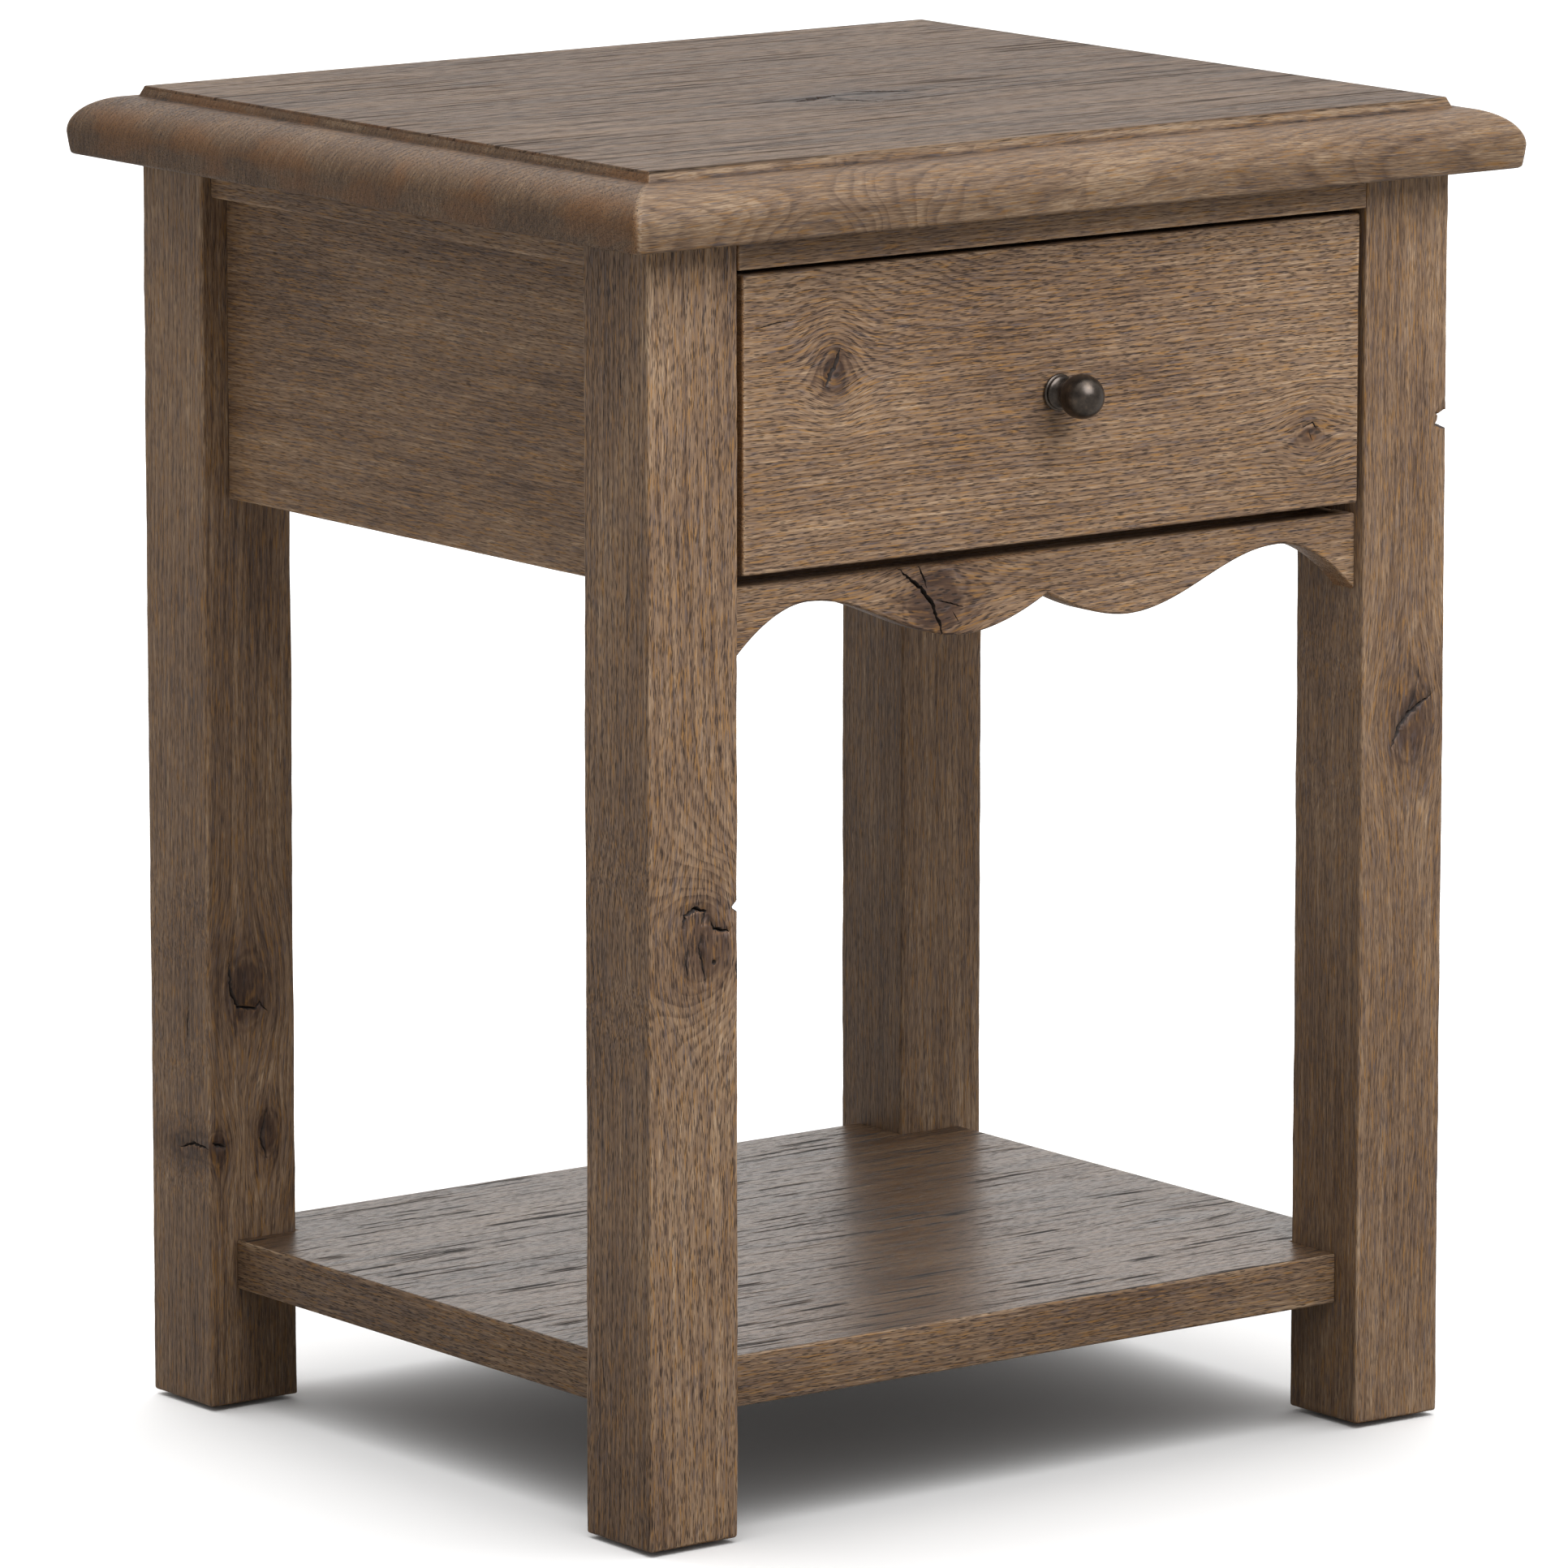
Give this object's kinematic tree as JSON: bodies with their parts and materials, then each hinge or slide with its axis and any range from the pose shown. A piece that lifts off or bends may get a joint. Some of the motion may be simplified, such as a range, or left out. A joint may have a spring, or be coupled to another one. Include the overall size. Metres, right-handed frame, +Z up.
{
  "type": "side table with drawer",
  "caption": "Farmhouse side table with a moulded top, an inset drawer over a scalloped apron, square legs and a lower shelf.",
  "frame": {"origin": "on the floor, under the middle of the table", "axes": "+Z up; the drawer front faces -Y; +X is to the right of a person facing the drawer"},
  "size_m": [0.54, 0.4789, 0.66],
  "materials": {
    "weathered_oak": "satin, open grain",
    "weathered_oak_top": "satin, greyer than the frame",
    "drawer_box_oak": "clear, pale",
    "dark_bronze": "dark bronze, satin",
    "zinc_plated_steel": "zinc plated",
    "dark_plastic": "matte"
  },
  "bodies": {
    "table": {"apron": "weathered_oak", "back_panel": "weathered_oak", "back_rail": "weathered_oak", "case_slide_screw_front_left": "zinc_plated_steel", "case_slide_screw_front_right": "zinc_plated_steel", "case_slide_screw_rear_left": "zinc_plated_steel", "case_slide_screw_rear_right": "zinc_plated_steel", "drawer_rail": "weathered_oak", "front_rail": "weathered_oak", "glide_front_left": "dark_plastic", "glide_front_right": "dark_plastic", "glide_rear_left": "dark_plastic", "glide_rear_right": "dark_plastic", "leg_front_left": "weathered_oak", "leg_front_right": "weathered_oak", "leg_rear_left": "weathered_oak", "leg_rear_right": "weathered_oak", "shelf": "weathered_oak", "shelf_dowel_front_left": "drawer_box_oak", "shelf_dowel_front_right": "drawer_box_oak", "shelf_dowel_rear_left": "drawer_box_oak", "shelf_dowel_rear_right": "drawer_box_oak", "side_panel_left": "weathered_oak", "side_panel_right": "weathered_oak", "side_rail_left": "weathered_oak", "side_rail_right": "weathered_oak", "slide_batten_left": "drawer_box_oak", "slide_batten_right": "drawer_box_oak", "slide_case_member_left": "zinc_plated_steel", "slide_case_member_right": "zinc_plated_steel", "tabletop": "weathered_oak_top", "top_screw_back_left": "zinc_plated_steel", "top_screw_back_right": "zinc_plated_steel", "top_screw_front_left": "zinc_plated_steel", "top_screw_front_right": "zinc_plated_steel"},
    "drawer": {"drawer_back": "drawer_box_oak", "drawer_bottom": "drawer_box_oak", "drawer_box_front": "drawer_box_oak", "drawer_front": "weathered_oak", "drawer_side_left": "drawer_box_oak", "drawer_side_right": "drawer_box_oak", "drawer_slide_screw_front_left": "zinc_plated_steel", "drawer_slide_screw_front_right": "zinc_plated_steel", "drawer_slide_screw_rear_left": "zinc_plated_steel", "drawer_slide_screw_rear_right": "zinc_plated_steel", "front_screw_left": "zinc_plated_steel", "front_screw_right": "zinc_plated_steel", "knob": "dark_bronze", "knob_screw": "zinc_plated_steel", "slide_drawer_member_left": "zinc_plated_steel", "slide_drawer_member_right": "zinc_plated_steel"},
    "slide_middle_left": {"slide_middle_member_left": "zinc_plated_steel"},
    "slide_middle_right": {"slide_middle_member_right": "zinc_plated_steel"}
  },
  "joints": [
    {"name": "drawer_slide", "type": "slide", "parent": "table", "child": "drawer", "axis": [0, -1, 0], "range_m": [0, 0.35]},
    {"name": "slide_middle_left_travel", "type": "slide", "parent": "table", "child": "slide_middle_left", "axis": [0, -1, 0], "range_m": [0, 0.175]},
    {"name": "slide_middle_right_travel", "type": "slide", "parent": "table", "child": "slide_middle_right", "axis": [0, -1, 0], "range_m": [0, 0.175]}
  ],
  "couplings": [
    {"joint": "slide_middle_left_travel", "follows": "drawer_slide", "ratio": 0.5},
    {"joint": "slide_middle_right_travel", "follows": "drawer_slide", "ratio": 0.5}
  ]
}
